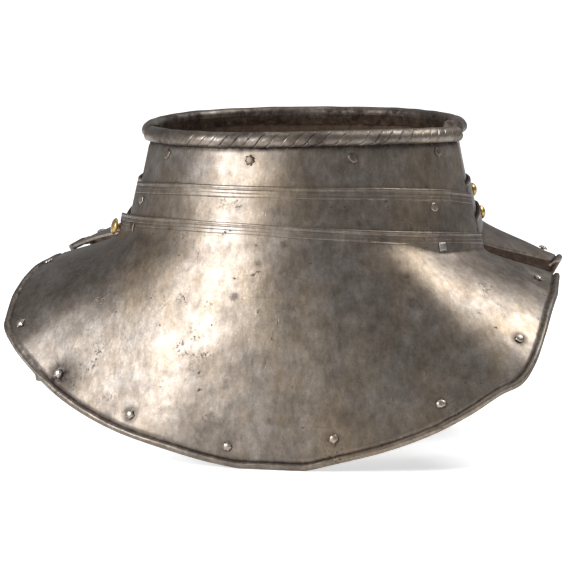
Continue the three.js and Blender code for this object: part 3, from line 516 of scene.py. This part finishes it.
def top_strip(side, angles, rim_from, rim_to):
    front = side == "front"
    out = 0.0 if front else BACK_INSET * LAYER
    low = ((front_neck_top if front else back_neck_top)(angles) - UNDERLAP)[:, None]
    rim_top = (RIM_TOP - 0.12 - (front_rim_drop if front else back_rim_drop)(angles))[:, None]
    rolled = ((angles >= rim_from) & (angles <= rim_to)).astype(float)[:, None]
    foot = rim_top - ROPE + 0.1
    cut_top = rim_top - 1.22 * ROPE
    share = np.linspace(0, 1, WALL_PLACES)[None, :]
    wall_z = low + share * (np.where(rolled > 0, foot, cut_top) - low)
    place = neck_points(angles[:, None], wall_z, out)
    groove = ridge(foot - wall_z, 0.0, 1.3, -0.5) * rolled
    wall = neck_points(angles[:, None], wall_z, out + groove + 0.06 * ripple(place, 22, 51))
    swell = 0.0 if front else 1.0
    relief, cut_dirt = rope_cuts(angles, NECK_HALF_WIDTH + out)
    uneven = 0.13 * ripple(neck_points(angles[:, None], rim_top + 2 * np.sin(ROLL_TURNS), out), 13, 19)
    size = 1 + (relief + uneven - 0.16) / 3.9
    roll_out = 0.55 + 0.95 * swell + (3.5 + 0.9 * swell) * np.cos(ROLL_TURNS)[None, :] * size
    roll_z = rim_top - ROPE / 2 + 0.1 + (ROPE / 2 - 0.1) * np.sin(ROLL_TURNS)[None, :] * size
    half = len(ROLL_TURNS) // 2
    flat_out = np.where(np.arange(len(ROLL_TURNS)) < half, -0.05, 0.05 - SHEET)[None, :]
    roll_out = np.where(rolled > 0, roll_out, flat_out)
    roll_z = np.where(rolled > 0, roll_z, cut_top + 0.1)
    roll = neck_points(angles[:, None], roll_z, out + roll_out)
    along = neck_points(angles, rim_top[:, 0], out)
    ragged = rim_top - FLAP_END + 0.5 * ripple(along, 17, 61)[:, None] + 0.35 * ripple(along, 6, 62)[:, None]
    flap_out = np.where(rolled > 0, np.array([[-2.75, -2.7, -1.9, -SHEET]]), -SHEET)
    flap_z = np.where(rolled > 0, ragged + np.array([[2.5, 0, -0.1, 0.3]]), cut_top)
    flap = neck_points(angles[:, None], flap_z, out + flap_out)
    inner_top = np.where(rolled > 0, rim_top - FLAP_END - 0.9, cut_top - 0.1)
    inner = neck_points(angles[:, None], low + share[:, ::-1] * (inner_top - low), out - SHEET)
    sections = np.concatenate([wall, roll, flap, inner], axis=1)
    sections = np.clip(sections, BOX_LOW - NECK_CENTRE, BOX_HIGH - NECK_CENTRE)
    inside = np.clip((ROLL_TURNS - 2.2) / 0.5, 0, 1)[None, :]
    # the roll is darker on its inner side and in the crease where it leaves the wall
    roll_dirt_and_shade = (cut_dirt + (0.33 if front else 0.45) + 0.6 * ripple(roll, 19, 23) + 0.4 * inside
                 + ridge(ROLL_TURNS, -1.95, 0.35, 0.8))
    if not front:
        # painted shade on the back rim along the front half's edges
        roll_dirt_and_shade = roll_dirt_and_shade + painted_gap_shade(angles, HINGE_EDGE + 6.8, 360 + LAME_EDGE - 2.5)
    # the wall is darker in the groove under the roll
    wall_dirt_and_shade = (ridge(foot - wall_z, 0.2, 1.5, 0.95) * rolled + 0.12 * ripple(place, 25, 81)
                 + (marked(place, LAME_STAINS, 4) if front
                    # the back wall gets painted shade along the front half's edges
                    else painted_gap_shade(angles, HINGE_EDGE + 6.8, 360 + LAME_EDGE - 2.5)))
    wear_and_shade = np.concatenate([wall_dirt_and_shade, roll_dirt_and_shade, np.ones((len(angles), 4)),
                           np.full((len(angles), WALL_PLACES), 0.4)], axis=1)
    piece = loft(f"{side}_top_strip", sections, WALL_PLACES + len(ROLL_TURNS) - 3, wear_and_shade)
    finish_piece(piece, f"{side}_top_lame", "steel", f"{side}_top_lame")


# Turned pieces
def turned(name, profile, spot, slot, body, sides=28, battered=0.0, square=False):
    at, direction = spot
    side = np.cross(direction, [0.0, 0.0, 1.0])
    side /= np.linalg.norm(side)
    up = np.cross(side, direction)
    rng = np.random.default_rng(sum(map(ord, name)))
    turns = 2 * math.pi * np.arange(sides) / sides
    lumps = sum(rng.normal() * np.sin(k * turns + rng.uniform(0, 6)) for k in (2, 3, 5, 7))
    profile = np.array(profile)
    radius, height = profile[:, :1], profile[:, 1:]
    grow = 1 + battered * lumps[None, :] * (radius > 1.9)
    if square:
        grow = np.where(radius > 1.9, 0.86 / np.maximum(np.abs(np.cos(turns)), np.abs(np.sin(turns))), 1.0)
    tilt = battered * 0.35 * np.sin(turns + rng.uniform(0, 6))[None, :] * radius * (height > 0)
    points = (at + direction * (height + tilt)[..., None]
              + (radius * grow)[..., None] * (side * np.cos(turns)[:, None] + up * np.sin(turns)[:, None]))
    i, k = np.mgrid[0:len(profile) - 1, 0:sides]
    j = (k + 1) % sides
    quads = np.stack([i * sides + k, i * sides + j, (i + 1) * sides + j, (i + 1) * sides + k], -1)
    last = (len(profile) - 1) * sides
    ends = [list(range(sides))[::-1], [last + k for k in range(sides)]]
    piece = make_mesh(name + "_turned", points.reshape(-1, 3), quads.reshape(-1, 4), ends)
    finish_piece(piece, body, slot, name)


def dome(head, rise, shank, grip, burr, crown=1.0):
    """A rivet's profile from its hidden end to the top of its dome."""
    under = 0.2
    inside = -grip - 0.35
    rows = [(0.05, inside - 0.7), (0.7 * burr, inside - 0.65), (burr, inside - 0.3), (burr, inside),
            (shank, inside), (shank, under), (head, under), (1.01 * head, under + 0.12 * rise)]
    for t in np.linspace(0.12, 1, 9) * math.pi / 2:
        rows.append((max(head * math.cos(t) ** crown, 0.04), under + rise * math.sin(t)))
    return rows


def neck_spot(angle, z, out):
    def near(da, dz):
        return neck_points(float(angle + da), float(z + dz), out)
    direction = np.cross(near(1, 0) - near(-1, 0), near(0, 1) - near(0, -1))
    return near(0, 0), direction / np.linalg.norm(direction)


def flange_spot(side, angle, share):
    lines = rib_lines(side, np.array([angle - 1, angle, angle + 1], float))[:, 1:]
    at = line_lengths(lines)[:, None] * np.array([[share - 0.01, share, share + 0.01]])
    grid, _ = along_lines(lines, at)
    direction = np.cross(grid[1, 2] - grid[1, 0], grid[2, 1] - grid[0, 1])
    return grid[1, 1], direction / np.linalg.norm(direction)


# Materials
class Nodes:
    """A material's nodes, added one by one and wired by name."""

    def __init__(self, name):
        self.material = bpy.data.materials.new(name)
        self.material.use_nodes = True
        self.tree = self.material.node_tree
        self.shader = self.tree.nodes["Principled BSDF"]
        self.place = self.add("ShaderNodeTexCoord").outputs["Object"]

    def add(self, kind, inputs=None, **settings):
        node = self.tree.nodes.new(kind)
        for key, value in settings.items():
            setattr(node, key, value)
        for key, value in (inputs or {}).items():
            if isinstance(value, bpy.types.NodeSocket):
                self.tree.links.new(value, node.inputs[key])
            else:
                node.inputs[key].default_value = value
        return node

    def link(self, out, key):
        self.tree.links.new(out, self.shader.inputs[key])

    def stretched(self, scale, turn=(0, 0, 0)):
        return self.add("ShaderNodeMapping", {"Vector": self.place, "Scale": scale,
                                              "Rotation": turn}).outputs["Vector"]

    def noise(self, scale, detail=4.0, roughness=0.55, vector=None, distortion=0.0):
        return self.add("ShaderNodeTexNoise", {
            "Vector": vector or self.place, "Scale": scale, "Detail": detail,
            "Roughness": roughness, "Distortion": distortion}).outputs["Fac"]

    def ramp(self, value, *stops):
        node = self.add("ShaderNodeValToRGB", {"Fac": value})
        band = node.color_ramp
        while len(band.elements) < len(stops):
            band.elements.new(0.5)
        for element, (position, shade) in zip(band.elements, stops):
            element.position = position
            element.color = (shade, shade, shade, 1) if isinstance(shade, float) else (*shade, 1)
        return node.outputs["Color"]

    def mix(self, share, a, b, way="MIX"):
        node = self.add("ShaderNodeMix", data_type="RGBA", blend_type=way)
        for key, value in ((0, share), (6, a), (7, b)):
            if isinstance(value, bpy.types.NodeSocket):
                self.tree.links.new(value, node.inputs[key])
            else:
                node.inputs[key].default_value = (*value, 1) if isinstance(value, tuple) else value
        return node.outputs[2]

    def sum(self, a, b, way="ADD"):
        return self.add("ShaderNodeMath", {0: a, 1: b}, operation=way).outputs[0]

    def bump(self, height, distance, strength=1.0, before=None):
        inputs = {"Height": height, "Distance": distance, "Strength": strength}
        if before is not None:
            inputs["Normal"] = before
        return self.add("ShaderNodeBump", inputs).outputs["Normal"]


def steel_look(name, dark, mid, light, gold, dull, rough, pitted=0.8):
    """Old browned steel: clouds of tarnish, polishing streaks, pits, scratches, and the mesh's darkening:
    grime in the grooves, stains and painted shade.
    """
    n = Nodes(name)
    clouds = n.sum(n.sum(n.noise(13, 4, 0.55, distortion=0.3), 0.45, "MULTIPLY"),
                   n.sum(n.noise(105, 6, 0.7), 0.55, "MULTIPLY"))
    colour = n.ramp(clouds, (0.31, dark), (0.5, mid), (0.7, light))
    golden = n.ramp(n.noise(24, 5, 0.65, n.stretched((1, 1, 0.5))), (0.47, 0.0), (0.66, 0.65))
    colour = n.mix(golden, colour, gold)
    streaks = n.ramp(n.noise(330, 5, 0.65, n.stretched((1, 1, 0.5))), (0.32, 0.78), (0.68, 1.2))
    colour = n.mix(1.0, colour, streaks, "MULTIPLY")
    grain = n.ramp(n.noise(1100, 3, 0.7), (0.3, 0.86), (0.7, 1.12))
    colour = n.mix(1.0, colour, grain, "MULTIPLY")
    specks = n.ramp(n.noise(650, 4, 0.7), (0.53, 0.0), (0.62, 1.0))
    patches = n.ramp(n.noise(48, 3, 0.6), (0.6, 0.0), (0.67, 0.8))
    lone = n.ramp(n.noise(240, 2, 0.5), (0.725, 0.0), (0.755, 0.8))
    pits = n.sum(n.sum(specks, patches, "MULTIPLY"), lone, "MAXIMUM")
    # the mesh's darkening: grime in the grooves, stains, and painted shade along the gaps and at the lower
    # left
    dirt_and_shade = n.add("ShaderNodeAttribute", attribute_name="dirt_and_shade").outputs["Fac"]
    broken = n.ramp(n.noise(300, 5, 0.7), (0.34, 0.35), (0.62, 1.0))
    broken_dirt_and_shade = n.sum(dirt_and_shade, broken, "MULTIPLY")
    colour = n.mix(n.sum(pits, pitted, "MULTIPLY"), colour, dull)
    colour = n.mix(broken_dirt_and_shade, colour, dull)
    n.link(colour, "Base Color")
    n.shader.inputs["Metallic"].default_value = 0.94
    steep = n.noise(85, 2, 0.5, n.stretched((7, 7, 0.4), (0.5, 0.35, 0.2)))
    steep = n.ramp(steep, (0.7, 0.0), (0.73, 1.0))
    level = n.noise(70, 2, 0.5, n.stretched((0.4, 8, 8), (0.2, 0.6, 0.1)))
    level = n.ramp(level, (0.71, 0.0), (0.74, 1.0))
    scratch = n.sum(steep, level, "MAXIMUM")
    shine = n.ramp(n.noise(60, 5, 0.6), (0.3, rough[0]), (0.7, rough[1]))
    shine = n.sum(shine, n.sum(broken_dirt_and_shade, 0.3, "MULTIPLY"))
    shine = n.sum(shine, n.sum(pits, 0.2, "MULTIPLY"))
    n.link(n.sum(shine, n.sum(scratch, -0.08, "MULTIPLY")), "Roughness")
    normal = n.bump(n.noise(60, 4, 0.5), 0.0004, 0.6)
    normal = n.bump(n.noise(420, 4, 0.65, n.stretched((1, 1, 0.45))), 0.00007, 0.8, normal)
    height = n.sum(n.sum(pits, -1.0, "MULTIPLY"), n.sum(scratch, -0.35, "MULTIPLY"))
    n.link(n.bump(height, 0.00005, 0.8, normal), "Normal")
    return n.material


STEEL = steel_look("browned_steel", (0.11, 0.087, 0.07), (0.192, 0.163, 0.136), (0.3, 0.272, 0.246),
                   (0.225, 0.172, 0.115), (0.036, 0.026, 0.024), (0.33, 0.46))
INSIDE = steel_look("rusty_inside", (0.05, 0.034, 0.025), (0.115, 0.08, 0.058), (0.19, 0.14, 0.105),
                    (0.14, 0.085, 0.05), (0.03, 0.019, 0.014), (0.45, 0.65))
BRIGHT = steel_look("worn_rivet_heads", (0.2, 0.165, 0.135), (0.34, 0.3, 0.265), (0.52, 0.48, 0.44),
                    (0.3, 0.235, 0.17), (0.06, 0.045, 0.035), (0.28, 0.44), 0.4)
DARK = steel_look("dark_rivet_heads", (0.06, 0.045, 0.034), (0.12, 0.095, 0.075), (0.21, 0.175, 0.145),
                  (0.13, 0.09, 0.055), (0.022, 0.015, 0.011), (0.33, 0.5))
BRASS = steel_look("old_brass", (0.22, 0.14, 0.045), (0.43, 0.29, 0.105), (0.6, 0.44, 0.19),
                   (0.36, 0.22, 0.07), (0.05, 0.03, 0.012), (0.24, 0.4), 0.5)
LOOKS = {"steel": (STEEL, INSIDE), "bright": (BRIGHT,), "dark": (DARK,), "brass": (BRASS,),
         "hinge": (INSIDE,)}
for name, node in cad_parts.items():
    for material_slot in node.material_slots:
        material_slot.material = INSIDE if "hinge" in name else DARK

# Plates
FRONT_LAME_ANGLES = np.linspace(LAME_EDGE, HINGE_EDGE, 353)
BACK_LAME_ANGLES = np.linspace(HINGE_TUCK, LAME_TUCK, 455)
main_plate("front", np.linspace(CLOSING_EDGE, HINGE_EDGE, 371))
main_plate("back", np.linspace(HINGE_TUCK, CLOSING_TUCK, 445))
neck_strip("front", FRONT_LAME_ANGLES)
neck_strip("back", BACK_LAME_ANGLES)
top_strip("front", np.linspace(LAME_EDGE, HINGE_EDGE, 880), LAME_EDGE, HINGE_EDGE)
top_strip("back", np.linspace(HINGE_TUCK, LAME_TUCK, 1000), HINGE_EDGE + 0.9, 360 + LAME_EDGE - 0.9)

# Rivets, stud and hinge pin
RIVET_HEAD, RIVET_SHANK, RIVET_BURR = 2.5, 1.1, 1.8
SIDE_SHANK, SIDE_BURR, SIDE_GRIP = 1.5, 2.6, LAYER + SHEET
for i, spot in enumerate(FRONT_EDGE_RIVETS, 1):
    turned(f"front_edge_rivet_{i}", dome(2.3, 1.15, RIVET_SHANK, SHEET, RIVET_BURR, 0.8),
           flange_spot("front", *spot), "bright", "front_plate", battered=0.07)
for i, spot in enumerate(BACK_EDGE_RIVETS, 1):
    turned(f"back_edge_rivet_{i}", dome(2.35, 1.4, RIVET_SHANK, SHEET, RIVET_BURR, 0.8),
           flange_spot("back", *spot), "bright", "back_plate", battered=0.05)
for i, (angle, down) in enumerate(((-44.6, 13.2), (-8.1, 14.6), (27.4, 14.5), (64, 12.6)), 1):
    z = RIM_TOP - float(front_rim_drop([angle])[0]) - down
    turned(f"front_collar_rivet_{i}", dome(RIVET_HEAD, 0.7, RIVET_SHANK, SHEET, RIVET_BURR, 0.6),
           neck_spot(angle, z, 0), "dark", "front_top_lame", battered=0.06)
for i, angle in enumerate((122, 161, 199, 238), 1):
    z = RIM_TOP - float(back_rim_drop(np.array([angle, 180.0]))[0]) - 15.5
    turned(f"back_collar_rivet_{i}", dome(RIVET_HEAD, 0.9, RIVET_SHANK, SHEET, RIVET_BURR, 0.6),
           neck_spot(angle, z, BACK_INSET * LAYER), "dark", "back_top_lame", battered=0.06)
for side, front_at, main_z, back_at in (("left", 56.5, 110, 103), ("right", -54, 115.7, 257)):
    turned(f"front_upper_side_rivet_{side}", dome(2.3, 0.35, SIDE_SHANK, SIDE_GRIP, SIDE_BURR, 0.3),
           neck_spot(front_at, 130, LAYER), "bright", "front_neck_lame", battered=0.02)
    turned(f"front_lower_side_rivet_{side}", dome(2.7, 0.8, SIDE_SHANK, SIDE_GRIP, SIDE_BURR, 0.6),
           neck_spot(front_at, main_z, 2 * LAYER), "bright" if side == "left" else "dark", "front_plate",
           sides=40, square=True)
    turned(f"back_upper_side_rivet_{side}", dome(3.45, 2.2, SIDE_SHANK, SIDE_GRIP, SIDE_BURR),
           neck_spot(back_at, 134.7, (1 + BACK_INSET) * LAYER), "brass", "back_neck_lame", battered=0.02)
    turned(f"back_lower_side_rivet_{side}", dome(3.55, 2.4, SIDE_SHANK, SIDE_GRIP, SIDE_BURR),
           neck_spot(back_at, 122.8, 0), "brass", "back_plate", battered=0.02)
HEAD_UNDER = 5.2
STUD_HEAD = 4.4
stud_profile = [(0.05, -2.5), (2.4, -2.4), (2.6, -2.1), (2.6, -1.65), (1.8, -1.6), (1.8, HEAD_UNDER),
                (3.9, HEAD_UNDER + 0.02), (4.3, HEAD_UNDER + 0.25)]
stud_profile += [(max(STUD_HEAD * math.cos(t) ** 0.8, 0.05), HEAD_UNDER + 0.45 + 2.1 * math.sin(t))
                 for t in np.linspace(0.05, math.pi / 2, 11)]
turned("closing_stud", stud_profile, neck_spot(STUD_ANGLE, STUD_Z, 0), "brass", "back_plate", battered=0.015)
hinge_low = neck_points(HINGE_ANGLE, 101.5, -0.65)
hinge_high = neck_points(HINGE_ANGLE, 112.5, -0.65)
pin = float(np.linalg.norm(hinge_high - hinge_low))
turned("hinge_pin", [(0.1, -1.1), (1.1, -1.05), (1.3, -0.8), (1.3, -0.4), (0.7, -0.38), (0.7, pin + 0.38),
                     (1.3, pin + 0.4), (1.3, pin + 0.8), (1.1, pin + 1.05), (0.1, pin + 1.1)],
       (hinge_low, (hinge_high - hinge_low) / pin), "hinge", "front_plate")

# Camera, at the photograph's angle
PHOTO_AZIMUTH, PHOTO_ELEVATION, PHOTO_ROLL = (math.radians(a) for a in (11.94, 5.45, 0.65))
PHOTO_DISTANCE = 2.5
PHOTO_TARGET = Vector((NECK_CENTRE + (-0.037, -0.017, 86)) * MM)
back = Vector((math.sin(PHOTO_AZIMUTH) * math.cos(PHOTO_ELEVATION),
               -math.cos(PHOTO_AZIMUTH) * math.cos(PHOTO_ELEVATION), math.sin(PHOTO_ELEVATION)))
right = Vector((math.cos(PHOTO_AZIMUTH), math.sin(PHOTO_AZIMUTH), 0.0))
up = back.cross(right)
x_axis = right * math.cos(PHOTO_ROLL) + up * math.sin(PHOTO_ROLL)
y_axis = back.cross(x_axis)
camera_data = bpy.data.cameras.new("photo_camera")
camera_data.lens = 299.6
camera_data.sensor_width = 36.0
camera_data.shift_x = -0.0321
camera_data.shift_y = -0.0095
camera_data.clip_end = 60.0
camera = bpy.data.objects.new("photo_camera", camera_data)
camera.matrix_world = Matrix.Translation(PHOTO_TARGET + back * PHOTO_DISTANCE) @ Matrix(
    (x_axis, y_axis, back)).transposed().to_4x4()
bpy.context.scene.collection.objects.link(camera)
bpy.context.scene.camera = camera

# Floor and soft light; the floor glows, more the further it lies from the gorget, as painted light
FLOOR_REACH = 20
floor_mesh = bpy.data.meshes.new("floor")
floor_mesh.from_pydata([(-FLOOR_REACH, -FLOOR_REACH, 0), (FLOOR_REACH, -FLOOR_REACH, 0),
                        (FLOOR_REACH, FLOOR_REACH, 0), (-FLOOR_REACH, FLOOR_REACH, 0)], [], [(0, 1, 2, 3)])
floor = bpy.data.objects.new("floor", floor_mesh)
bpy.context.scene.collection.objects.link(floor)
paper = Nodes("glowing_white_floor")
paper.shader.inputs["Base Color"].default_value = (0.93, 0.93, 0.93, 1)
paper.shader.inputs["Roughness"].default_value = 0.9
paper.shader.inputs["Emission Color"].default_value = (1, 1, 1, 1)
# painted light: the floor's glow grows with distance from the gorget, so the far floor stays white
away = paper.add("ShaderNodeVectorMath", {0: paper.place}, operation="LENGTH").outputs["Value"]
painted_floor_glow = paper.add("ShaderNodeMapRange", {"Value": away, "From Min": 0.3, "From Max": 2.5,
                                        "To Min": 0.55, "To Max": 0.9}).outputs["Result"]
paper.link(painted_floor_glow, "Emission Strength")
floor_mesh.materials.append(paper.material)
floor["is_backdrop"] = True


def softbox(name, at, aim, width, height, power, tint=(1, 1, 1)):
    light = bpy.data.lights.new(name, "AREA")
    light.shape = "RECTANGLE"
    light.size = width
    light.size_y = height
    light.energy = power
    light.color = tint
    lamp = bpy.data.objects.new(name, light)
    lamp.location = at
    lamp.rotation_euler = (Vector(aim) - Vector(at)).to_track_quat("-Z", "Y").to_euler()
    bpy.context.scene.collection.objects.link(lamp)


softbox("left_softbox", (-0.98, -1.28, 0.8), (0, 0, 0.08), 0.66, 0.66, 27, (0.98, 0.985, 1))
softbox("right_softbox", (0.98, 0.32, 1.5), (0, 0, 0.08), 0.9, 0.6, 19)
softbox("top_softbox", (0, 0.2, 2.2), (0, 0, 0.08), 1.6, 1.6, 12)
world = bpy.data.worlds.new("studio")
world.use_nodes = True
world.node_tree.nodes["Background"].inputs["Color"].default_value = (0.93, 0.95, 1, 1)
world.node_tree.nodes["Background"].inputs["Strength"].default_value = 0.28
bpy.context.scene.world = world
bpy.context.scene.view_settings.view_transform = "Standard"
